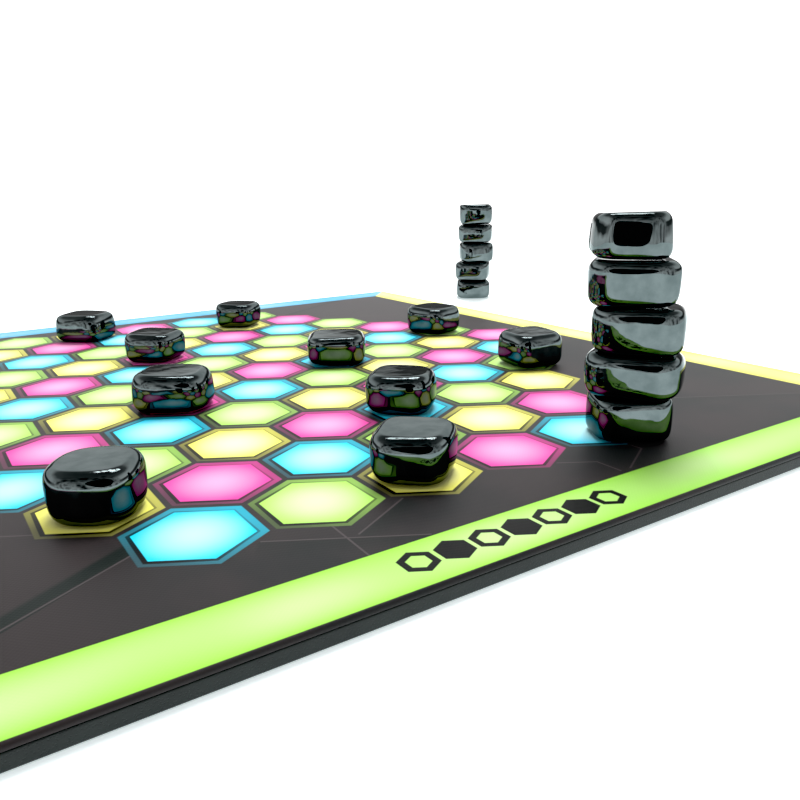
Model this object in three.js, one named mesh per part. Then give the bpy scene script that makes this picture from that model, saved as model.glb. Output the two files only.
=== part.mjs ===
// A magnet game set: a thin square play mat printed with a field of hexagonal cells, and twenty
// polished magnets. Ten magnets lie singly on cells, five stand in a stack on the mat and five in
// a stack on the table beside it.
//
// Millimetres, +Z up. The origin is the middle of the mat's underside. +X runs along the near edge
// of the mat and +Y away from it, so the table is the plane Z = 0.
import * as THREE from 'three';

const MAT_SIDE = 304.8; // 12 inches
const MAT_CORNER = 4;
const RUBBER_THICKNESS = 2.9;
const CLOTH_THICKNESS = 1.1;
const MAT_TOP = RUBBER_THICKNESS + CLOTH_THICKNESS;

const CELL_PITCH = 26.4; // between the centres of two cells in a row
const ROW_PITCH = (CELL_PITCH * Math.sqrt(3)) / 2;
const FIELD_CENTRE = { x: -1.7, y: 5.4 }; // the print is trimmed a little off the mat's middle

const EDGE_ROLL = 3.2; // radius that tumbling leaves along a magnet's edges
const MAGNET_CORNER = 5.6; // radius of a magnet's corners, seen from above
const REST_GAP = 0.05; // between a magnet and what it rests on

const OUTLINE_STEPS = 2; // a corner arc is made of twice as many straight pieces
const ROLL_STEPS = 3; // straight pieces across each rolled edge

const RUBBER = { color: 0x1c201e, roughness: 0.85, metalness: 0 };
const CLOTH = { color: 0x33373a, roughness: 0.7, metalness: 0 };
const POLISHED_FERRITE = { color: 0x55595a, roughness: 0.06, metalness: 1 };

// A loose magnet lies on the cell that is `column` pitches right of the field's centre line in the
// row that is `row` rows beyond its middle row. It has slipped on the cell and is turned by hand.
const LOOSE_MAGNETS = [
  { column: -2.5, row: -4, slip: [0.9, -1.7], turn: -30, size: [19, 20, 11.5] },
  { column: 0, row: -5, slip: [-1.4, -0.2], turn: -46, size: [19, 20, 11.5] },
  { column: 1, row: -3, slip: [-1, -0.5], turn: -45, size: [20, 20.5, 11.5] },
  { column: -1, row: -1, slip: [-1.8, -2.7], turn: -33, size: [23, 21, 11.5] },
  { column: 1.5, row: 0, slip: [-0.3, -4.4], turn: -31, size: [21.5, 20, 11] },
  { column: -0.5, row: 2, slip: [-0.5, -1.8], turn: -45, size: [20, 19.5, 11] },
  { column: -1, row: 5, slip: [0, -9.2], turn: -45, size: [22, 21, 11.5] },
  { column: 1.5, row: 4, slip: [0.3, 1], turn: -47, size: [19, 19, 11] },
  { column: 4, row: 1, slip: [-3.2, -1.4], turn: -76, size: [20.5, 19.5, 11.5] },
  { column: 3.5, row: -2, slip: [1.1, -4.1], turn: -7, size: [20, 20, 12] },
];

// The magnets of a stack, from the bottom up: how far each centre is from the stack's own, its turn
// and its size.
const FRONT_STACK = {
  name: 'front_stack_magnet',
  centre: [57.5, -118],
  base: MAT_TOP,
  magnets: [
    { offset: [0, -0.3], turn: -31, size: [20, 19, 11] },
    { offset: [0.7, -0.9], turn: -59, size: [24, 19.5, 11] },
    { offset: [1.2, -1.1], turn: -56, size: [22.5, 20, 11.5] },
    { offset: [-0.1, 0.7], turn: -45, size: [22, 20, 11.5] },
    { offset: [-0.8, 1.7], turn: -42, size: [19.5, 20, 11] },
  ],
};
const REAR_STACK = {
  name: 'rear_stack_magnet',
  centre: [197, 118.3],
  base: 0,
  magnets: [
    { offset: [-0.7, 0.5], turn: -34, size: [20, 20, 10.5] },
    { offset: [-0.8, 0.5], turn: -49, size: [20, 20, 11] },
    { offset: [0.5, -0.5], turn: -27, size: [19.5, 20, 11] },
    { offset: [0.4, -0.5], turn: -45, size: [20, 20, 10.5] },
    { offset: [0.4, -0.5], turn: -35, size: [19.5, 20, 11.5] },
  ],
};

// A rectangle with round corners, centred on the origin.
function roundedRectangle(width, depth, radius) {
  const x = width / 2 - radius;
  const y = depth / 2 - radius;
  const quarter = Math.PI / 2;
  const shape = new THREE.Shape();
  shape.absarc(x, y, radius, 0, quarter);
  shape.absarc(-x, y, radius, quarter, 2 * quarter);
  shape.absarc(-x, -y, radius, 2 * quarter, 3 * quarter);
  shape.absarc(x, -y, radius, 3 * quarter, 4 * quarter);
  return shape;
}

function namedMesh(name, geometry, look) {
  const mesh = new THREE.Mesh(geometry, new THREE.MeshStandardMaterial(look));
  mesh.name = name;
  return mesh;
}

// One flat layer of the mat: cut through, with upright sides.
function matLayer(name, thickness, bottom, look) {
  const outline = roundedRectangle(MAT_SIDE, MAT_SIDE, MAT_CORNER);
  const geometry = new THREE.ExtrudeGeometry(outline, {
    depth: thickness,
    bevelEnabled: false,
    curveSegments: OUTLINE_STEPS,
  });
  const layer = namedMesh(name, geometry, look);
  layer.position.z = bottom;
  return layer;
}

// A magnet: a solid cushion with flat faces above and below and a rolled edge all round. Its own
// origin is the middle of its underside.
function magnet(name, [width, depth, height], turn) {
  const shrink = 2 * EDGE_ROLL;
  const flat = roundedRectangle(width - shrink, depth - shrink, MAGNET_CORNER - EDGE_ROLL);
  const geometry = new THREE.ExtrudeGeometry(flat, {
    depth: height - shrink,
    bevelEnabled: true,
    bevelThickness: EDGE_ROLL,
    bevelSize: EDGE_ROLL,
    bevelSegments: ROLL_STEPS,
    curveSegments: OUTLINE_STEPS,
  });
  geometry.translate(0, 0, EDGE_ROLL);
  const mesh = namedMesh(name, geometry, POLISHED_FERRITE);
  mesh.rotation.z = THREE.MathUtils.degToRad(turn);
  return mesh;
}

function looseMagnet({ column, row, slip, turn, size }, index) {
  const mesh = magnet(`loose_magnet_${index + 1}`, size, turn);
  mesh.position.set(
    FIELD_CENTRE.x + column * CELL_PITCH + slip[0],
    FIELD_CENTRE.y + row * ROW_PITCH + slip[1],
    MAT_TOP + REST_GAP,
  );
  return mesh;
}

function stack({ name, centre, base, magnets }) {
  const group = new THREE.Group();
  group.position.set(centre[0], centre[1], base);
  let bottom = base > 0 ? REST_GAP : 0;
  magnets.forEach(({ offset, turn, size }, index) => {
    const mesh = magnet(`${name}_${index + 1}`, size, turn);
    mesh.position.set(offset[0], offset[1], bottom);
    bottom += size[2] + REST_GAP;
    group.add(mesh);
  });
  return group;
}

const gameSet = new THREE.Group();
gameSet.add(matLayer('mat_rubber_base', RUBBER_THICKNESS, 0, RUBBER));
gameSet.add(matLayer('mat_printed_cloth', CLOTH_THICKNESS, RUBBER_THICKNESS, CLOTH));
LOOSE_MAGNETS.forEach((entry, index) => gameSet.add(looseMagnet(entry, index)));
gameSet.add(stack(FRONT_STACK));
gameSet.add(stack(REAR_STACK));

export default gameSet;
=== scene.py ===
import math
import random

import bmesh
import bpy
from mathutils import Euler, Matrix, Vector


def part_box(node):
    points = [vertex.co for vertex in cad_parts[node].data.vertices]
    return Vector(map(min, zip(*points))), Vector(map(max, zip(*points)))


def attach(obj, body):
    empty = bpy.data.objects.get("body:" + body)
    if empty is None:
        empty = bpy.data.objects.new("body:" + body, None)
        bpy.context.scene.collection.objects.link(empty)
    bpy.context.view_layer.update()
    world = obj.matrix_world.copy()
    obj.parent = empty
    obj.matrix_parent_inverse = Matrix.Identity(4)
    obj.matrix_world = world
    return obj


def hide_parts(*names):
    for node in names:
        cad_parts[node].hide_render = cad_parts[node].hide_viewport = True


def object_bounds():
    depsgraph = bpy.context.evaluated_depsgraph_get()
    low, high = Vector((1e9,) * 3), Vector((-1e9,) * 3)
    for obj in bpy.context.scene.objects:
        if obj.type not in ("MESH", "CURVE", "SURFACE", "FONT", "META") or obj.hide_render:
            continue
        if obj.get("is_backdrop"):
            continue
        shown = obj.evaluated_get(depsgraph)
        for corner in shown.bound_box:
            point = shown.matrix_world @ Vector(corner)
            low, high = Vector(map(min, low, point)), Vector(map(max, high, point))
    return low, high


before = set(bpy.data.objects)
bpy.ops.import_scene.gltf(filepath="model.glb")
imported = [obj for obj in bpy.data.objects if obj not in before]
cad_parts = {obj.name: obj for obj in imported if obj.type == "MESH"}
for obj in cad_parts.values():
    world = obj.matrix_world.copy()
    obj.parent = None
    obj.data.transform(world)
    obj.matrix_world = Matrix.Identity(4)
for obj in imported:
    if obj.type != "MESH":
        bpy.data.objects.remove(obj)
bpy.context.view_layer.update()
mat_low, mat_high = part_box("mat_rubber_base")
cloth_low, cloth_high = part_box("mat_printed_cloth")


# ---------------------------------------------------------------------------------------------
# Camera. It stands low over the mat's near edge, a hand's height above the cloth, and looks
# across the playing field to the far right corner.
# ---------------------------------------------------------------------------------------------
camera_place = Vector((-0.0937, -0.2429, 0.0679))
camera_heading = math.radians(33.08)
camera_dip = math.radians(16.01)
camera_tilt = math.radians(-1.19)

camera_data = bpy.data.cameras.new("camera")
camera_data.lens = 34.14
camera_data.sensor_width = 36
camera_data.clip_start = 0.005
camera = bpy.data.objects.new("camera", camera_data)
bpy.context.scene.collection.objects.link(camera)
camera_turn = Euler((math.pi / 2 - camera_dip, 0, -camera_heading)).to_matrix().to_4x4()
camera_turn = camera_turn @ Matrix.Rotation(camera_tilt, 4, "Z")
camera.matrix_world = Matrix.Translation(camera_place) @ camera_turn
bpy.context.scene.camera = camera


# ---------------------------------------------------------------------------------------------
# Studio. A white table runs back to a bright white backdrop in a room that is otherwise dim.
# Two soft lamps hang over the table. A black flag round the camera hides it from the magnets,
# which show a dark shape there.
# ---------------------------------------------------------------------------------------------
view = bpy.context.scene.view_settings
view.view_transform = "Standard"

# The darkest tones are pressed down towards black, as they are in a contrasty print.
print_toe = [(0.012, 0.0015), (0.035, 0.029), (0.06, 0.06)]
all_channels = 3
view.use_curve_mapping = True
tone_curve = view.curve_mapping.curves[all_channels]
for darkness in print_toe:
    tone_curve.points.new(*darkness)
for point in tone_curve.points:
    point.handle_type = "VECTOR"
view.curve_mapping.update()

table_reach = 0.85
table_drop = 0.00005
table_white = (0.78, 0.79, 0.8)
table_glow = 0.45
table_glow_tint = (0.85, 1.0, 1.0)
backdrop_white = 1.9

# What the table and the backdrop gain where they are seen in a mirror.
mirrored_table_gain = 1.2
mirrored_backdrop_gain = 1.1


def plug(tree, value, socket):
    """Links an output to a socket, or gives the socket a value of its own."""
    if isinstance(value, bpy.types.NodeSocket):
        tree.links.new(value, socket)
    else:
        socket.default_value = value


def math_node(tree, operation, *values, clamp=False):
    """A Math node's output."""
    node = tree.nodes.new("ShaderNodeMath")
    node.operation = operation
    node.use_clamp = clamp
    for socket, value in zip(node.inputs, values):
        plug(tree, value, socket)
    return node.outputs[0]


def vector_node(tree, operation, *values):
    """A Vector Math node's output, which is a number for a dot product or a length."""
    node = tree.nodes.new("ShaderNodeVectorMath")
    node.operation = operation
    for socket, value in zip(node.inputs, values):
        plug(tree, value, socket)
    return node.outputs["Value" if operation in ("DOT_PRODUCT", "LENGTH") else "Vector"]


def mix_node(tree, share, first, second, blend="MIX"):
    """A colour that goes from first to second as share goes from 0 to 1."""
    node = tree.nodes.new("ShaderNodeMix")
    node.data_type = "RGBA"
    node.blend_type = blend
    plug(tree, share, node.inputs[0])
    plug(tree, first, node.inputs[6])
    plug(tree, second, node.inputs[7])
    return node.outputs[2]


def ease_node(tree, value, low, high, start=0.0, end=1.0):
    """A number that goes softly from start to end as value goes from low to high."""
    node = tree.nodes.new("ShaderNodeMapRange")
    node.interpolation_type = "SMOOTHSTEP"
    for socket, number in zip(node.inputs, (value, low, high, start, end)):
        plug(tree, number, socket)
    return node.outputs[0]


def ramp_node(tree, value, stops, interpolation="LINEAR"):
    """A Color Ramp's colour. stops are pairs of a position and a colour."""
    node = tree.nodes.new("ShaderNodeValToRGB")
    node.color_ramp.interpolation = interpolation
    elements = node.color_ramp.elements
    while len(elements) < len(stops):
        elements.new(1.0)
    for element, (position, colour) in zip(elements, stops):
        element.position = position
        element.color = (*colour, 1)
    plug(tree, value, node.inputs[0])
    return node.outputs[0]


def grey(level):
    """A grey as linear colour."""
    return (level, level, level)


def direction(heading, height):
    """The way to something at a heading and a height above the level, both in degrees."""
    heading, height = math.radians(heading), math.radians(height)
    level = math.cos(height)
    return Vector((math.sin(heading) * level, math.cos(heading) * level, math.sin(height)))


world = bpy.data.worlds.new("studio")
bpy.context.scene.world = world
world.use_nodes = True
sky = world.node_tree
sky.nodes.clear()
looking = sky.nodes.new("ShaderNodeTexCoord").outputs["Generated"]
height_up = sky.nodes.new("ShaderNodeSeparateXYZ")
plug(sky, looking, height_up.inputs[0])
clutter = sky.nodes.new("ShaderNodeTexNoise")
clutter.inputs["Scale"].default_value = 3.0
clutter.inputs["Detail"].default_value = 4
plug(sky, looking, clutter.inputs["Vector"])

# The side with the backdrop: white at the table's level, a dark stretch, white cloth, dark ceiling.
wobble = 0.12
backdrop_stops = [
    (0.0, grey(0.9)),
    (0.07, grey(0.08)),
    (0.20, grey(0.06)),
    (0.27, grey(0.74)),
    (0.50, grey(0.64)),
    (0.70, grey(0.14)),
    (1.0, grey(0.05)),
]
height_wobble = math_node(sky, "MULTIPLY_ADD", clutter.outputs["Fac"], wobble, -wobble / 2)
uneven_height = math_node(sky, "ADD", height_up.outputs[2], height_wobble)
backdrop = ramp_node(sky, uneven_height, backdrop_stops)

# The room's side: upright streaks of furniture and curtains, which darken towards the ceiling.
room_heading = 213
room_edge = (0.1, 0.6)
streak_stretch = (1, 1, 0.45)
room_stops = [(0.34, grey(0.04)), (0.45, grey(0.30)), (0.55, grey(0.62)), (0.66, grey(0.22))]
room_fall_stops = [(0.0, grey(1.3)), (0.4, grey(0.7)), (0.75, grey(0.16))]
streaks = sky.nodes.new("ShaderNodeTexNoise")
streaks.inputs["Scale"].default_value = 5.0
streaks.inputs["Detail"].default_value = 4
plug(sky, vector_node(sky, "MULTIPLY", looking, streak_stretch), streaks.inputs["Vector"])
room = ramp_node(sky, streaks.outputs["Fac"], room_stops)
room_fall = ramp_node(sky, height_up.outputs[2], room_fall_stops)
room = mix_node(sky, 1.0, room, room_fall, "MULTIPLY")
towards_room = vector_node(sky, "DOT_PRODUCT", looking, direction(room_heading, 0))
in_room = ease_node(sky, towards_room, *room_edge)
surroundings = mix_node(sky, in_room, backdrop, room)

# Ceiling lights seen through leaves, so that each is a scatter of small bright spots.
ceiling_lights = [(12, 66), (56, 66)]
light_white = 6.0
light_edge = (0.984, 0.994)
light_scatter = (0.5, 0.5, 0.3)
leaf_edge = (0.42, 0.54)
scatter = vector_node(sky, "SUBTRACT", clutter.outputs["Color"], grey(0.5))
scatter = vector_node(sky, "MULTIPLY", scatter, light_scatter)
scattered_way = vector_node(sky, "NORMALIZE", vector_node(sky, "ADD", looking, scatter))
leaves = sky.nodes.new("ShaderNodeTexNoise")
leaves.inputs["Scale"].default_value = 16.0
plug(sky, looking, leaves.inputs["Vector"])
between_leaves = ease_node(sky, leaves.outputs["Fac"], *leaf_edge)
for light_heading, light_height in ceiling_lights:
    light_way = direction(light_heading, light_height)
    nearness = vector_node(sky, "DOT_PRODUCT", scattered_way, light_way)
    light = math_node(sky, "MULTIPLY", ease_node(sky, nearness, *light_edge), between_leaves)
    surroundings = mix_node(sky, light, surroundings, (*grey(light_white), 1))

sky_rays = sky.nodes.new("ShaderNodeLightPath")
sky_colour = mix_node(sky, sky_rays.outputs["Is Camera Ray"], surroundings, (1, 1, 1, 1))
background = sky.nodes.new("ShaderNodeBackground")
plug(sky, sky_colour, background.inputs["Color"])
sky_strength = math_node(
    sky, "MULTIPLY_ADD", sky_rays.outputs["Is Glossy Ray"], mirrored_backdrop_gain, backdrop_white
)
plug(sky, sky_strength, background.inputs["Strength"])
world_output = sky.nodes.new("ShaderNodeOutputWorld")
plug(sky, background.outputs[0], world_output.inputs["Surface"])

bpy.ops.object.select_all(action="DESELECT")
bpy.ops.mesh.primitive_circle_add(
    vertices=96, radius=table_reach, fill_type="NGON", location=(0, 0, -table_drop)
)
table = bpy.context.object
table.name = "table"
table_paint = bpy.data.materials.new("white_table")
table_paint.use_nodes = True
tree = table_paint.node_tree
table_shader = tree.nodes["Principled BSDF"]
table_shader.inputs["Base Color"].default_value = (*table_white, 1)
table_shader.inputs["Roughness"].default_value = 0.7
table_shader.inputs["Emission Color"].default_value = (*table_glow_tint, 1)
table_rays = tree.nodes.new("ShaderNodeLightPath")
glow_strength = math_node(
    tree, "MULTIPLY_ADD", table_rays.outputs["Is Glossy Ray"], mirrored_table_gain, table_glow
)
plug(tree, glow_strength, table_shader.inputs["Emission Strength"])
table.data.materials.append(table_paint)
table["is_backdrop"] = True


def hang_lamp(name, heading, height, reach, width, depth, power):
    """A soft lamp that hangs reach metres from the mat's middle and faces it, unseen itself."""
    lamp_data = bpy.data.lights.new(name, "AREA")
    lamp_data.shape = "RECTANGLE"
    lamp_data.size = width
    lamp_data.size_y = depth
    lamp_data.energy = power
    lamp = bpy.data.objects.new(name, lamp_data)
    bpy.context.scene.collection.objects.link(lamp)
    away = direction(heading, height)
    facing_mat = away.to_track_quat("Z", "Y").to_matrix().to_4x4()
    lamp.matrix_world = Matrix.Translation(away * reach) @ facing_mat
    lamp.visible_camera = False
    lamp.visible_glossy = False


hang_lamp("key_lamp", heading=45, height=60, reach=1.6, width=0.75, depth=0.75, power=32.0)
hang_lamp("front_lamp", heading=200, height=70, reach=1.6, width=1.2, depth=0.6, power=6.0)

flag_reach = Vector((0.095, 0.03, 0.062))
flag_lift = 0.015
bpy.ops.object.select_all(action="DESELECT")
bpy.ops.mesh.primitive_uv_sphere_add(segments=48, ring_count=24, radius=1)
flag = bpy.context.object
flag.name = "black_flag"
flag.scale = flag_reach
flag.rotation_euler = (0, 0, -camera_heading)
flag.location = camera_place + Vector((0, 0, flag_lift))
bpy.ops.object.shade_smooth()
flag_cloth = bpy.data.materials.new("black_velvet")
flag_cloth.use_nodes = True
flag_shader = flag_cloth.node_tree.nodes["Principled BSDF"]
flag_shader.inputs["Base Color"].default_value = (0.01, 0.01, 0.01, 1)
flag_shader.inputs["Roughness"].default_value = 0.9
flag.data.materials.append(flag_cloth)
flag.visible_camera = False
flag.visible_diffuse = False
flag.visible_shadow = False
flag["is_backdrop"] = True


# ---------------------------------------------------------------------------------------------
# Rubber base. A sheet of black foamed rubber, cut to the mat's outline with round corners. Its
# cut side is slightly porous, and its underside has a pressed grip pattern.
# ---------------------------------------------------------------------------------------------
corner_radius = 0.004
corner_steps = 8
rubber_rim = 0.00035
smooth_up_to = math.radians(35)
on_level = 1e-5


def select_parts(mesh, kind, wanted):
    """In edit mode, selects those of a mesh's edges or faces for which wanted is true."""
    shape = bmesh.from_edit_mesh(mesh)
    bpy.ops.mesh.select_all(action="DESELECT")
    for part in getattr(shape, kind):
        if wanted(part):
            part.select_set(True)
    bmesh.update_edit_mesh(mesh)


def height_span(edge):
    """How much higher one end of an edge is than the other."""
    return abs(edge.verts[0].co.z - edge.verts[1].co.z)


def cut_square_slab(name, low, high, top_rim, bottom_rim, rim_steps):
    """A square slab with round upright corners and rolled rims, in place."""
    bpy.ops.object.select_all(action="DESELECT")
    bpy.ops.mesh.primitive_cube_add(size=1, location=(low + high) / 2)
    slab = bpy.context.object
    slab.name = name
    slab.data.name = name
    bpy.ops.transform.resize(value=high - low)
    bpy.ops.object.transform_apply(location=True, rotation=False, scale=True)
    bpy.ops.object.mode_set(mode="EDIT")

    select_parts(slab.data, "edges", lambda edge: height_span(edge) > (high.z - low.z) / 2)
    bpy.ops.mesh.bevel(offset=corner_radius, segments=corner_steps, affect="EDGES")
    for level, rim in ((high.z, top_rim), (low.z, bottom_rim)):
        select_parts(
            slab.data,
            "edges",
            lambda edge: all(abs(vert.co.z - level) < on_level for vert in edge.verts),
        )
        bpy.ops.mesh.bevel(offset=rim, segments=rim_steps, affect="EDGES")
    bpy.ops.object.mode_set(mode="OBJECT")
    bpy.ops.object.shade_smooth_by_angle(angle=smooth_up_to)
    return slab


rubber_base = cut_square_slab(
    "foam_rubber_base", mat_low, mat_high, rubber_rim, rubber_rim, rim_steps=3
)

pore_edge = (0.05, 0.45)
rubber_stops = [(0.3, (0.0035, 0.0045, 0.0040)), (0.7, (0.0075, 0.0095, 0.0085))]
grip_pitch = 3.2
grip_sway = 0.35
grip_depth = 3.0
facing_down = -0.9

rubber = bpy.data.materials.new("foamed_rubber")
rubber.use_nodes = True
tree = rubber.node_tree
shader = tree.nodes["Principled BSDF"]
shader.inputs["Roughness"].default_value = 0.6
shader.inputs["Specular IOR Level"].default_value = 0.25
place = tree.nodes.new("ShaderNodeTexCoord").outputs["Object"]

pores = tree.nodes.new("ShaderNodeTexVoronoi")
pores.inputs["Scale"].default_value = 2600
plug(tree, place, pores.inputs["Vector"])
pore_depth = ease_node(tree, pores.outputs["Distance"], *pore_edge)
mottle = tree.nodes.new("ShaderNodeTexNoise")
mottle.inputs["Scale"].default_value = 220
mottle.inputs["Detail"].default_value = 4
plug(tree, place, mottle.inputs["Vector"])
plug(tree, ramp_node(tree, mottle.outputs["Fac"], rubber_stops), shader.inputs["Base Color"])

# The grip's waves run both ways over the underside. Its pitch and sway are in millimetres.
wave_turn = 2 * math.pi / grip_pitch
millimetres = vector_node(tree, "MULTIPLY", place, (1000, 1000, 1000))
grip_parts = tree.nodes.new("ShaderNodeSeparateXYZ")
plug(tree, millimetres, grip_parts.inputs[0])
grip_waves = []
for along, across in ((0, 1), (1, 0)):
    sway = math_node(tree, "SINE", math_node(tree, "MULTIPLY", grip_parts.outputs[along], wave_turn))
    shifted = math_node(tree, "MULTIPLY_ADD", sway, grip_sway, grip_parts.outputs[across])
    wave = math_node(tree, "SINE", math_node(tree, "MULTIPLY", shifted, wave_turn))
    grip_waves.append(wave)
grip = math_node(tree, "MAXIMUM", *grip_waves)
facing = tree.nodes.new("ShaderNodeSeparateXYZ")
plug(tree, tree.nodes.new("ShaderNodeNewGeometry").outputs["Normal"], facing.inputs[0])
underside = math_node(tree, "LESS_THAN", facing.outputs[2], facing_down)
grip_height = math_node(tree, "MULTIPLY", grip, underside)
rubber_height = math_node(tree, "MULTIPLY_ADD", grip_height, grip_depth, pore_depth)
rubber_bump = tree.nodes.new("ShaderNodeBump")
rubber_bump.inputs["Strength"].default_value = 0.5
rubber_bump.inputs["Distance"].default_value = 0.0001
plug(tree, rubber_height, rubber_bump.inputs["Height"])
plug(tree, rubber_bump.outputs[0], shader.inputs["Normal"])
rubber_base.data.materials.append(rubber)

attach(rubber_base, "mat")
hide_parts("mat_rubber_base")


# ---------------------------------------------------------------------------------------------
# Printed cloth. A fine polyester cloth, bonded on the rubber and pressed round at the rim. The
# print is dye in the cloth: 80 hexagonal cells, four border bands and faint panel lines.
# ---------------------------------------------------------------------------------------------
cloth_roll = 0.0008
cloth_under_roll = 0.0002

cloth = cut_square_slab(
    "printed_cloth_face", cloth_low, cloth_high, cloth_roll, cloth_under_roll, rim_steps=4
)

# The print's layout, in millimetres from the mat's middle.
cell_pitch = 26.4
row_pitch = cell_pitch * math.sqrt(3) / 2
field_centre = (-1.95, 4.45, 0)
rows_from_middle = 5
longest_half_row = 4.5
fill_half_width = 10.45
glow_reach = 11.5
gap_width = 1.0
gap_narrowing = 0.6
frame_half_width = 12.5
gleam_heading = math.radians(30)
band_inner_x = 138.0
band_inner_y = 137.0
band_outer = 151.7
band_corner = 3.3
line_half_width = 0.2

# How softly an ink ends at each kind of edge, to either side of it.
gap_blur = 0.12
fill_blur = 0.1
frame_blur = 0.15
band_blur = (-0.1, 0.15)
corner_blur = (-0.15, 0.05)

# Inks and the pale glow in each one's middle, as linear colour: cyan, lime, yellow and magenta.
exposure = 1.9
inks = [(0.02, 1.02, 1.40), (0.68, 1.28, 0.21), (1.45, 1.40, 0.22), (1.28, 0.09, 0.58)]
glows = [(0.80, 1.38, 1.45), (1.12, 1.42, 0.80), (1.50, 1.50, 0.93), (1.45, 0.63, 1.03)]
band_inks = [(0.05, 0.62, 1.05), (0.52, 1.20, 0.11), (1.30, 1.30, 0.18), (1.25, 0.10, 0.50)]
band_glows = [(0.40, 0.86, 1.20), (0.92, 1.30, 0.54), (1.40, 1.40, 0.66), (1.30, 0.50, 0.82)]
black_ink = (0.0125, 0.0135, 0.0140)
brown_black = (0.0230, 0.0190, 0.0195)
green_black = (0.0065, 0.0100, 0.0090)
gap_black = (0.0020, 0.0022, 0.0024)
line_ink = (0.052, 0.043, 0.045)
frame_shadow = grey(0.045)
frame_gleam = 0.50
frame_least = 0.08
gap_gleam = 0.6
glow_narrowness = 1.45

# Along a row the inks follow each other, and each row is one and a half inks behind the one below.
inks_per_row = -1.5
first_ink = -5.0


def dye(colour):
    """The cloth's own colour under an ink that looks this bright on the table."""
    return tuple(channel / exposure for channel in colour)


def new_group(name, inputs, outputs):
    """An empty shader node group, its input node and its output node."""
    group = bpy.data.node_groups.new(name, "ShaderNodeTree")
    for label, kind in inputs.items():
        group.interface.new_socket(name=label, in_out="INPUT", socket_type="NodeSocket" + kind)
    for label, kind in outputs.items():
        group.interface.new_socket(name=label, in_out="OUTPUT", socket_type="NodeSocket" + kind)
    return group, group.nodes.new("NodeGroupInput"), group.nodes.new("NodeGroupOutput")


def use_group(tree, group, **values):
    """A group's node placed in a tree, with its inputs set by name."""
    node = tree.nodes.new("ShaderNodeGroup")
    node.node_tree = group
    for label, value in values.items():
        plug(tree, value, node.inputs[label])
    return node


def split(tree, vector):
    """A vector's X, Y and Z outputs."""
    node = tree.nodes.new("ShaderNodeSeparateXYZ")
    plug(tree, vector, node.inputs[0])
    return node.outputs


# Hexagon: how far a point is from the middle of a hexagon that stands on one of its corners,
# measured square to its nearest side.
hexagon, group_in, group_out = new_group("hexagon", {"Offset": "Vector"}, {"Distance": "Float"})
side, up, _ = split(hexagon, vector_node(hexagon, "ABSOLUTE", group_in.outputs["Offset"]))
slanted = math_node(
    hexagon, "MULTIPLY_ADD", up, math.sqrt(3) / 2, math_node(hexagon, "MULTIPLY", side, 0.5)
)
plug(hexagon, math_node(hexagon, "MAXIMUM", side, slanted), group_out.inputs["Distance"])

# Printed cells: rows of hexagons, each with a glowing fill, a dark gap and a bevelled frame.
cells, group_in, group_out = new_group(
    "printed_cells", {"Place": "Vector"}, {"Colour": "Color", "Mask": "Float"}
)
from_centre = vector_node(cells, "SUBTRACT", group_in.outputs["Place"], field_centre)
half_repeat = (cell_pitch / 2, row_pitch, 0)
odd_rows = vector_node(
    cells,
    "WRAP",
    vector_node(cells, "SUBTRACT", from_centre, (0, row_pitch, 0)),
    half_repeat,
    tuple(-value for value in half_repeat),
)
even_rows = vector_node(
    cells,
    "WRAP",
    vector_node(cells, "SUBTRACT", from_centre, (cell_pitch / 2, 0, 0)),
    half_repeat,
    tuple(-value for value in half_repeat),
)
even_is_nearer = math_node(
    cells,
    "LESS_THAN",
    vector_node(cells, "LENGTH", even_rows),
    vector_node(cells, "LENGTH", odd_rows),
)
offset_mix = cells.nodes.new("ShaderNodeMix")
offset_mix.data_type = "VECTOR"
plug(cells, even_is_nearer, offset_mix.inputs[0])
plug(cells, odd_rows, offset_mix.inputs[4])
plug(cells, even_rows, offset_mix.inputs[5])
offset = offset_mix.outputs[1]
cell_middle = split(cells, vector_node(cells, "SUBTRACT", from_centre, offset))
column = math_node(cells, "DIVIDE", cell_middle[0], cell_pitch)
row = math_node(cells, "DIVIDE", cell_middle[1], row_pitch)
row_away = math_node(cells, "ABSOLUTE", row)
row_room = math_node(cells, "MULTIPLY_ADD", row_away, 0.5, math_node(cells, "ABSOLUTE", column))
in_field = math_node(
    cells,
    "MULTIPLY",
    math_node(cells, "LESS_THAN", row_room, longest_half_row + 0.25),
    math_node(cells, "LESS_THAN", row_away, rows_from_middle + 0.5),
)
ink_number = math_node(
    cells,
    "FLOORED_MODULO",
    math_node(cells, "MULTIPLY_ADD", row, inks_per_row, math_node(cells, "ADD", column, first_ink)),
    len(inks),
)
ink_share = math_node(cells, "DIVIDE", ink_number, len(inks))
ink_stops = [number / len(inks) for number in range(len(inks))]
ink = ramp_node(cells, ink_share, list(zip(ink_stops, map(dye, inks))), "CONSTANT")
glow = ramp_node(cells, ink_share, list(zip(ink_stops, map(dye, glows))), "CONSTANT")
distance = use_group(cells, hexagon, Offset=offset).outputs["Distance"]
from_middle = math_node(cells, "DIVIDE", vector_node(cells, "LENGTH", offset), glow_reach)
glow_fall = math_node(
    cells, "SUBTRACT", 1.0, math_node(cells, "MULTIPLY", from_middle, from_middle), clamp=True
)
glow_share = math_node(cells, "POWER", glow_fall, glow_narrowness)
fill = mix_node(cells, glow_share, ink, glow)
lean = vector_node(
    cells,
    "DOT_PRODUCT",
    vector_node(cells, "NORMALIZE", offset),
    (math.cos(gleam_heading), math.sin(gleam_heading), 0),
)
gleam = math_node(cells, "MULTIPLY_ADD", lean, 0.5, 0.5)
frame_strength = math_node(cells, "MULTIPLY_ADD", gleam, frame_gleam, frame_least)
frame_tint = mix_node(cells, frame_strength, (*dye(frame_shadow), 1), ink)
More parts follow.
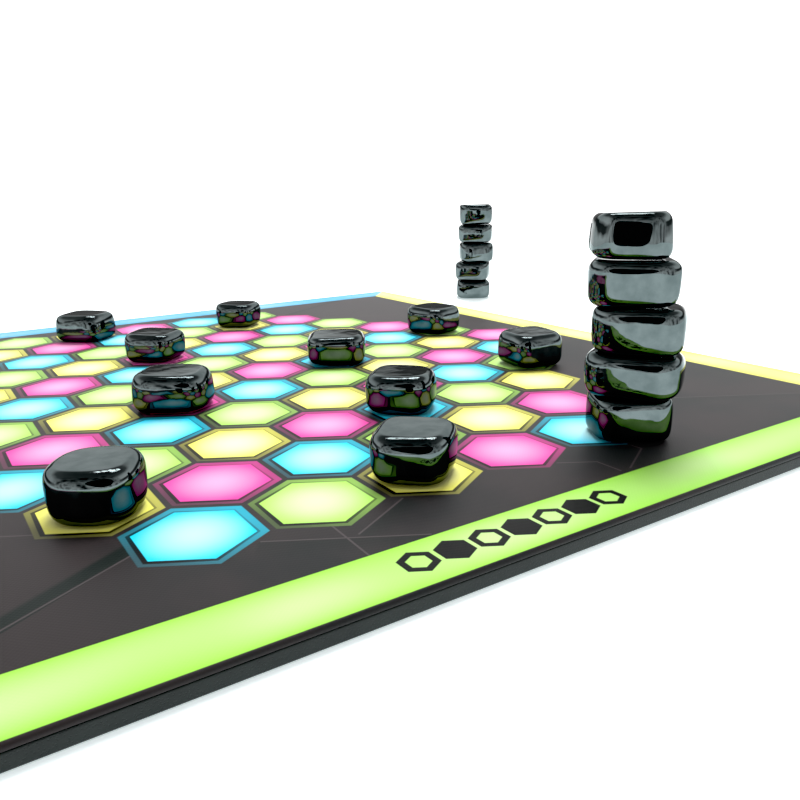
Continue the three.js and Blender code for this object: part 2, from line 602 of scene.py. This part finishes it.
gap_tint = mix_node(cells, math_node(cells, "MULTIPLY", gleam, gap_gleam), (*gap_black, 1), frame_tint)
gap_edge = math_node(cells, "MULTIPLY_ADD", gleam, -gap_narrowing, fill_half_width + gap_width)
past_gap = math_node(cells, "SUBTRACT", distance, gap_edge)
edging = mix_node(cells, ease_node(cells, past_gap, -gap_blur, gap_blur), gap_tint, frame_tint)
past_fill = ease_node(cells, distance, fill_half_width - fill_blur, fill_half_width + fill_blur)
cell_colour = mix_node(cells, past_fill, fill, edging)
inside_frame = ease_node(
    cells, distance, frame_half_width - frame_blur, frame_half_width + frame_blur, 1.0, 0.0
)
plug(cells, cell_colour, group_out.inputs["Colour"])
plug(cells, math_node(cells, "MULTIPLY", inside_frame, in_field), group_out.inputs["Mask"])

# Printed border: a band along each side in an ink of its own, with a glow along its middle that
# is dimmer in places.
glow_drift = (0.3, 0.7)
dimmest_glow = 0.35
border, group_in, group_out = new_group(
    "printed_border", {"Place": "Vector"}, {"Colour": "Color", "Mask": "Float"}
)
place_x, place_y, _ = split(border, group_in.outputs["Place"])
away_x, away_y, _ = split(border, vector_node(border, "ABSOLUTE", group_in.outputs["Place"]))
past_x = math_node(border, "SUBTRACT", away_x, band_inner_x)
past_y = math_node(border, "SUBTRACT", away_y, band_inner_y)
past_inner = math_node(border, "MAXIMUM", past_x, past_y)
on_side = math_node(border, "GREATER_THAN", past_x, past_y)
far_half = math_node(border, "GREATER_THAN", place_y, 0.0)
right_half = math_node(border, "GREATER_THAN", place_x, 0.0)
band_colours = []
for shades in (band_inks, band_glows):
    cyan, lime, yellow, magenta = [(*dye(shade), 1) for shade in shades]
    ends = mix_node(border, far_half, lime, cyan)
    sides = mix_node(border, right_half, magenta, yellow)
    band_colours.append(mix_node(border, on_side, ends, sides))
across = math_node(border, "MULTIPLY_ADD", past_inner, 2 / (band_outer - band_inner_y), -1.0)
band_arch = math_node(
    border, "SUBTRACT", 1.0, math_node(border, "MULTIPLY", across, across), clamp=True
)
drift = border.nodes.new("ShaderNodeTexNoise")
drift.inputs["Scale"].default_value = 0.022
drift.inputs["Detail"].default_value = 1
plug(border, group_in.outputs["Place"], drift.inputs["Vector"])
glow_along = ease_node(border, drift.outputs["Fac"], *glow_drift, dimmest_glow, 1.0)
band_glow = math_node(border, "MULTIPLY", band_arch, glow_along)
plug(border, mix_node(border, band_glow, *band_colours), group_out.inputs["Colour"])
corner_middle = band_outer - band_corner
past_corner = border.nodes.new("ShaderNodeCombineXYZ")
for number, away in enumerate((away_x, away_y)):
    beyond = math_node(border, "MAXIMUM", math_node(border, "SUBTRACT", away, corner_middle), 0.0)
    plug(border, beyond, past_corner.inputs[number])
from_corner = vector_node(border, "LENGTH", past_corner.outputs[0])
band_mask = math_node(
    border,
    "MULTIPLY",
    ease_node(border, past_inner, *band_blur),
    ease_node(border, from_corner, *(band_corner + blur for blur in corner_blur), 1.0, 0.0),
)
plug(border, band_mask, group_out.inputs["Mask"])

# Panel edge: a thin line from Start to End, and a shade that fades out from one side of it over
# Reach. Firmness is the part of Reach that stays fully dark.
line_core = 0.6 * line_half_width
line_rim = 1.6 * line_half_width
end_fade = 1.0
least_reach = 0.01
panel_edge, group_in, group_out = new_group(
    "panel_edge",
    {"Place": "Vector", "Start": "Vector", "End": "Vector", "Reach": "Float", "Firmness": "Float"},
    {"Line": "Float", "Shade": "Float"},
)
from_start = vector_node(panel_edge, "SUBTRACT", group_in.outputs["Place"], group_in.outputs["Start"])
run = vector_node(panel_edge, "SUBTRACT", group_in.outputs["End"], group_in.outputs["Start"])
run_length = vector_node(panel_edge, "LENGTH", run)
heading = vector_node(panel_edge, "NORMALIZE", run)
along = vector_node(panel_edge, "DOT_PRODUCT", from_start, heading)
held = math_node(panel_edge, "MINIMUM", math_node(panel_edge, "MAXIMUM", along, 0.0), run_length)
held_scale = panel_edge.nodes.new("ShaderNodeVectorMath")
held_scale.operation = "SCALE"
plug(panel_edge, heading, held_scale.inputs[0])
plug(panel_edge, held, held_scale.inputs["Scale"])
beside = vector_node(panel_edge, "SUBTRACT", from_start, held_scale.outputs[0])
clear = vector_node(panel_edge, "LENGTH", beside)
plug(
    panel_edge,
    ease_node(panel_edge, clear, line_core, line_rim, 1.0, 0.0),
    group_out.inputs["Line"],
)
left_of = split(panel_edge, vector_node(panel_edge, "CROSS_PRODUCT", heading, from_start))[2]
reach = math_node(panel_edge, "MAXIMUM", group_in.outputs["Reach"], least_reach)
fade_out = math_node(panel_edge, "DIVIDE", left_of, reach)
one_side = math_node(
    panel_edge,
    "MULTIPLY",
    ease_node(panel_edge, fade_out, group_in.outputs["Firmness"], 1.0, 1.0, 0.0),
    math_node(panel_edge, "GREATER_THAN", left_of, 0.0),
)
off_end = math_node(panel_edge, "ABSOLUTE", math_node(panel_edge, "SUBTRACT", along, held))
plug(
    panel_edge,
    math_node(panel_edge, "MULTIPLY", one_side, ease_node(panel_edge, off_end, 0.0, end_fade, 1.0, 0.0)),
    group_out.inputs["Shade"],
)

# Weave: the cloth's fine plain weave as a height. Threads is their number to the millimetre.
weave, group_in, group_out = new_group(
    "fine_weave", {"Place": "Vector", "Threads": "Float"}, {"Height": "Float"}
)
weave_x, weave_y, _ = split(weave, group_in.outputs["Place"])
threads = math_node(weave, "MULTIPLY", group_in.outputs["Threads"], math.pi)
warp = math_node(weave, "SINE", math_node(weave, "MULTIPLY", weave_x, threads))
weft = math_node(weave, "SINE", math_node(weave, "MULTIPLY", weave_y, threads))
plug(weave, math_node(weave, "MULTIPLY", warp, weft), group_out.inputs["Height"])

printed_cloth = bpy.data.materials.new("printed_cloth")
printed_cloth.use_nodes = True
tree = printed_cloth.node_tree
shader = tree.nodes["Principled BSDF"]
shader.inputs["Roughness"].default_value = 0.5
shader.inputs["Specular IOR Level"].default_value = 0.12
shader.inputs["Sheen Weight"].default_value = 0.09
shader.inputs["Sheen Roughness"].default_value = 0.3
place = tree.nodes.new("ShaderNodeTexCoord").outputs["Object"]
print_place = vector_node(tree, "MULTIPLY", place, (1000, 1000, 0))

# Each panel line's start, end and the reach of the shade beside it, in millimetres. The far half
# of the mat repeats the near half's lines, turned half round.
place_y = split(tree, print_place)[1]
half_turn = tree.nodes.new("ShaderNodeVectorMath")
half_turn.operation = "SCALE"
plug(tree, print_place, half_turn.inputs[0])
plug(tree, math_node(tree, "MULTIPLY", math_node(tree, "SIGN", place_y), -1.0), half_turn.inputs["Scale"])
panel_place = half_turn.outputs[0]
panel_edges = [
    ((-31.5, -122.5, 0), (-31.9, -136.8, 0), 0.0),
    ((-18.0, -136.4, 0), (-45.5, -120.5, 0), 9.0),
    ((-13.0, -119.2, 0), (-29.0, -128.4, 0), 7.0),
    ((27.8, -123.3, 0), (35.8, -128.2, 0), 0.0),
    ((35.8, -128.2, 0), (35.8, -135.3, 0), 0.0),
    ((51.3, -124.4, 0), (51.3, -128.3, 0), 0.0),
    ((51.3, -128.3, 0), (38.9, -135.4, 0), 0.0),
    ((-67.0, -111.8, 0), (-108.0, -135.5, 0), 0.0),
    ((-112.0, -74.0, 0), (-80.5, -92.0, 0), 0.0),
    ((130.0, -124.5, 0), (91.0, -102.0, 0), 8.0),
]
lines = 0.0
shades = 0.0
shade_strength = 0.6
for start, end, reach in panel_edges:
    panel = use_group(
        tree, panel_edge, Place=panel_place, Start=start, End=end, Reach=reach, Firmness=0.0
    )
    lines = math_node(tree, "MAXIMUM", lines, panel.outputs["Line"])
    if reach:
        shades = math_node(tree, "MAXIMUM", shades, panel.outputs["Shade"])
dark_band = use_group(
    tree,
    panel_edge,
    Place=panel_place,
    Start=(-110.0, -138.5, 0),
    End=(-64.0, -110.0, 0),
    Reach=5.0,
    Firmness=0.7,
)

cloudy = tree.nodes.new("ShaderNodeTexNoise")
cloudy.inputs["Scale"].default_value = 0.03
cloudy.inputs["Detail"].default_value = 3
plug(tree, print_place, cloudy.inputs["Vector"])
cloud_edge = (0.35, 0.65)
brown_from = (-45.0, -90.0)
panel_x = split(tree, panel_place)[0]
brown_clouds = ease_node(tree, cloudy.outputs["Fac"], *cloud_edge)
brown_share = math_node(tree, "MAXIMUM", brown_clouds, ease_node(tree, panel_x, *brown_from))
ground = mix_node(tree, brown_share, (*black_ink, 1), (*brown_black, 1))
shades = math_node(tree, "MULTIPLY", shades, shade_strength)
dark_share = math_node(tree, "MAXIMUM", shades, dark_band.outputs["Shade"])
ground = mix_node(tree, dark_share, ground, (*green_black, 1))
ground = mix_node(tree, lines, ground, (*line_ink, 1))
cell_print = use_group(tree, cells, Place=print_place)
ground = mix_node(tree, cell_print.outputs["Mask"], ground, cell_print.outputs["Colour"])
border_print = use_group(tree, border, Place=print_place)
ground = mix_node(tree, border_print.outputs["Mask"], ground, border_print.outputs["Colour"])

# A plain row of small black hexagons, solid and open by turns, stands on the near band.
badge_middle = (-2.0, -143.9, 0)
badge_pitch = 8.0
badge_count = 7
badge_row_half = badge_count * badge_pitch / 2
badge_edge = (3.45, 3.65)
badge_hole_edge = (2.0, 2.2)
from_badge = vector_node(tree, "SUBTRACT", print_place, badge_middle)
badge_x, badge_y, _ = split(tree, from_badge)
badge_number = math_node(tree, "ROUND", math_node(tree, "DIVIDE", badge_x, badge_pitch))
badge_offset = tree.nodes.new("ShaderNodeCombineXYZ")
plug(tree, math_node(tree, "MULTIPLY_ADD", badge_number, -badge_pitch, badge_x), badge_offset.inputs[0])
plug(tree, badge_y, badge_offset.inputs[1])
badge_distance = use_group(tree, hexagon, Offset=badge_offset.outputs[0]).outputs["Distance"]
badge_solid = ease_node(tree, badge_distance, *badge_edge, 1.0, 0.0)
badge_hole = ease_node(tree, badge_distance, *badge_hole_edge)
badge_is_open = math_node(tree, "FLOORED_MODULO", badge_number, 2.0)
badge_open = mix_node(tree, badge_is_open, (1, 1, 1, 1), badge_hole)
badge_in_row = math_node(tree, "LESS_THAN", math_node(tree, "ABSOLUTE", badge_x), badge_row_half)
badge_mask = math_node(tree, "MULTIPLY", badge_solid, badge_in_row)
badge_mask = math_node(tree, "MULTIPLY", badge_mask, badge_open)
ground = mix_node(tree, badge_mask, ground, (*gap_black, 1))

# Painted shade: the cloth's colour is darker where the weave is low and lighter where it is high,
# following the same height as the bump.
weave_shade_depth = 0.015
fine_threads = use_group(tree, weave, Place=print_place, Threads=2.2)
painted_weave_shade = math_node(
    tree, "MULTIPLY_ADD", fine_threads.outputs["Height"], weave_shade_depth, 1 - weave_shade_depth
)
painted_weave_grey = tree.nodes.new("ShaderNodeCombineColor")
for socket in painted_weave_grey.inputs:
    plug(tree, painted_weave_shade, socket)
plug(tree, mix_node(tree, 1.0, ground, painted_weave_grey.outputs[0], "MULTIPLY"), shader.inputs["Base Color"])
cloth_bump = tree.nodes.new("ShaderNodeBump")
cloth_bump.inputs["Strength"].default_value = 0.12
cloth_bump.inputs["Distance"].default_value = 0.00004
plug(tree, fine_threads.outputs["Height"], cloth_bump.inputs["Height"])
plug(tree, cloth_bump.outputs[0], shader.inputs["Normal"])
cloth.data.materials.append(printed_cloth)

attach(cloth, "mat")
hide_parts("mat_printed_cloth")


# ---------------------------------------------------------------------------------------------
# Magnets. Each is one block of pressed and sintered ferrite, tumbled with others until its
# edges are round and its faces slightly crowned, and polished to a black mirror.
# ---------------------------------------------------------------------------------------------
blank_size = Vector((0.020, 0.020, 0.0092))
corner_cuts = 3
rim_cuts = 2
level_face = 0.99
face_insets = (0.0006, 0.0024)
side_cuts = 3
side_swell = 0.03
top_swell = 0.006
tumbling = 0.04
dents = 0.0002
dented_heights = (0.6, 0.99)
smoothing_levels = 3

# Turn in degrees, then length, width, the rim's roll and the corners' radius in millimetres.
magnet_cuts = {
    "loose_magnet_1": (-30, 19, 20, 2.0, 7.6),
    "loose_magnet_2": (-46, 19, 20, 2.1, 6.0),
    "loose_magnet_3": (-45, 20, 20.5, 2.1, 6.6),
    "loose_magnet_4": (-33, 23, 21, 2.0, 6.6),
    "loose_magnet_5": (-31, 21.5, 20, 2.0, 6.0),
    "loose_magnet_6": (-45, 20, 19.5, 2.0, 6.0),
    "loose_magnet_7": (-45, 22, 21, 2.0, 6.0),
    "loose_magnet_8": (-47, 19, 19, 2.0, 6.6),
    "loose_magnet_9": (-76, 20.5, 19.5, 2.0, 6.0),
    "loose_magnet_10": (-7, 20, 20, 2.0, 6.0),
    "front_stack_magnet_1": (-31, 20, 19, 1.5, 6.0),
    "front_stack_magnet_2": (-59, 24, 19.5, 1.7, 6.0),
    "front_stack_magnet_3": (-56, 22.5, 20, 1.6, 6.0),
    "front_stack_magnet_4": (-45, 22, 20, 1.7, 6.0),
    "front_stack_magnet_5": (-42, 19.5, 20, 1.6, 6.0),
    "rear_stack_magnet_1": (-34, 20, 20, 1.7, 6.0),
    "rear_stack_magnet_2": (-49, 20, 20, 1.7, 6.0),
    "rear_stack_magnet_3": (-27, 19.5, 20, 1.7, 6.0),
    "rear_stack_magnet_4": (-45, 20, 20, 1.7, 6.0),
    "rear_stack_magnet_5": (-35, 19.5, 20, 1.7, 6.0),
}


def press_magnet_blank(rim_chamfer, corner_chamfer):
    """The cage of one magnet: a block with chamfered corners and rims, ringed to keep its faces flat."""
    bpy.ops.object.select_all(action="DESELECT")
    bpy.ops.mesh.primitive_cube_add(size=1, location=(0, 0, 0))
    block = bpy.context.object
    bpy.ops.transform.resize(value=blank_size)
    bpy.ops.object.transform_apply(location=False, rotation=False, scale=True)
    bpy.ops.object.mode_set(mode="EDIT")
    select_parts(block.data, "edges", lambda edge: height_span(edge) > blank_size.z / 2)
    bpy.ops.mesh.bevel(offset=corner_chamfer, segments=corner_cuts, affect="EDGES")
    select_parts(block.data, "edges", lambda edge: height_span(edge) < on_level)
    bpy.ops.mesh.bevel(offset=rim_chamfer, segments=rim_cuts, affect="EDGES")
    select_parts(block.data, "faces", lambda face: abs(face.normal.z) > level_face)
    for thickness in face_insets:
        bpy.ops.mesh.inset(thickness=thickness, use_individual=True)
    bpy.ops.mesh.poke()
    select_parts(block.data, "edges", lambda edge: edge.verts[0].co.z * edge.verts[1].co.z < 0)
    bpy.ops.mesh.subdivide(number_cuts=side_cuts)
    bpy.ops.object.mode_set(mode="OBJECT")
    return block


def tumble(magnet, dice):
    """Swells a magnet's cage, and leans and tapers it so that no two magnets are alike."""
    lean = [dice.uniform(-tumbling, tumbling) for _ in range(7)]
    for vertex in magnet.data.vertices:
        u = 2 * vertex.co.x / blank_size.x
        v = 2 * vertex.co.y / blank_size.y
        w = 2 * vertex.co.z / blank_size.z
        side = 1 + side_swell * (1 - w * w)
        top = 1 + top_swell * (1 - u * u) * (1 - v * v)
        vertex.co.x *= side + lean[0] * v + lean[1] * w
        vertex.co.y *= side + lean[2] * u + lean[3] * w
        vertex.co.z *= top + lean[4] * u + lean[5] * v + lean[6] * u * v
        if dented_heights[0] < abs(w) < dented_heights[1]:
            vertex.co += Vector(dice.uniform(-dents, dents) for _ in range(3))


def fit_to_size(mesh, size):
    """Scales a mesh about its middle to a length, a width and a height, and centres it."""
    low = Vector(min(vertex.co[axis] for vertex in mesh.vertices) for axis in range(3))
    high = Vector(max(vertex.co[axis] for vertex in mesh.vertices) for axis in range(3))
    mesh.transform(Matrix.Translation(-(low + high) / 2))
    stretch = [size[axis] / (high[axis] - low[axis]) for axis in range(3)]
    mesh.transform(Matrix.Diagonal((*stretch, 1)))


smear_edge = (0.35, 0.75)
polish = (0.02, 0.06)
ferrite_stops = [(0.35, (0.059, 0.073, 0.074)), (0.65, (0.086, 0.102, 0.103))]

ferrite = bpy.data.materials.new("polished_ferrite")
ferrite.use_nodes = True
tree = ferrite.node_tree
shader = tree.nodes["Principled BSDF"]
shader.inputs["Metallic"].default_value = 1.0
shader.inputs["Specular Tint"].default_value = (0.54, 0.555, 0.555, 1)
place = tree.nodes.new("ShaderNodeTexCoord").outputs["Object"]
smears = tree.nodes.new("ShaderNodeTexNoise")
smears.inputs["Scale"].default_value = 240
smears.inputs["Detail"].default_value = 7
plug(tree, place, smears.inputs["Vector"])
plug(tree, ease_node(tree, smears.outputs["Fac"], *smear_edge, *polish), shader.inputs["Roughness"])
plug(tree, ramp_node(tree, smears.outputs["Fac"], ferrite_stops), shader.inputs["Base Color"])
ripples = tree.nodes.new("ShaderNodeTexNoise")
ripples.inputs["Scale"].default_value = 210
ripples.inputs["Detail"].default_value = 1.5
plug(tree, place, ripples.inputs["Vector"])
ripple_bump = tree.nodes.new("ShaderNodeBump")
ripple_bump.inputs["Strength"].default_value = 1.0
ripple_bump.inputs["Distance"].default_value = 0.00007
plug(tree, ripples.outputs["Fac"], ripple_bump.inputs["Height"])
plug(tree, ripple_bump.outputs[0], shader.inputs["Normal"])

for number, (node, cut) in enumerate(magnet_cuts.items()):
    turn, length, width, rim, corner = cut
    low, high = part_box(node)
    magnet = press_magnet_blank(rim / 1000, corner / 1000)
    magnet.name = node + "_polished"
    magnet.data.name = magnet.name
    magnet.data.materials.append(ferrite)
    tumble(magnet, random.Random(number + 1))
    smooth = magnet.modifiers.new("smooth", "SUBSURF")
    smooth.levels = smoothing_levels
    smooth.render_levels = smoothing_levels
    bpy.ops.object.modifier_apply(modifier=smooth.name)
    bpy.ops.object.shade_smooth()
    fit_to_size(magnet.data, (length / 1000, width / 1000, high.z - low.z))
    magnet.data.transform(Matrix.Rotation(math.radians(turn), 4, "Z"))
    magnet.data.transform(Matrix.Translation((low + high) / 2))
    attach(magnet, node)
    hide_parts(node)


# ---------------------------------------------------------------------------------------------
# The finished set's box, round every shown piece, leaving out the table and the flag.
# ---------------------------------------------------------------------------------------------
bpy.context.view_layer.update()
low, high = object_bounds()
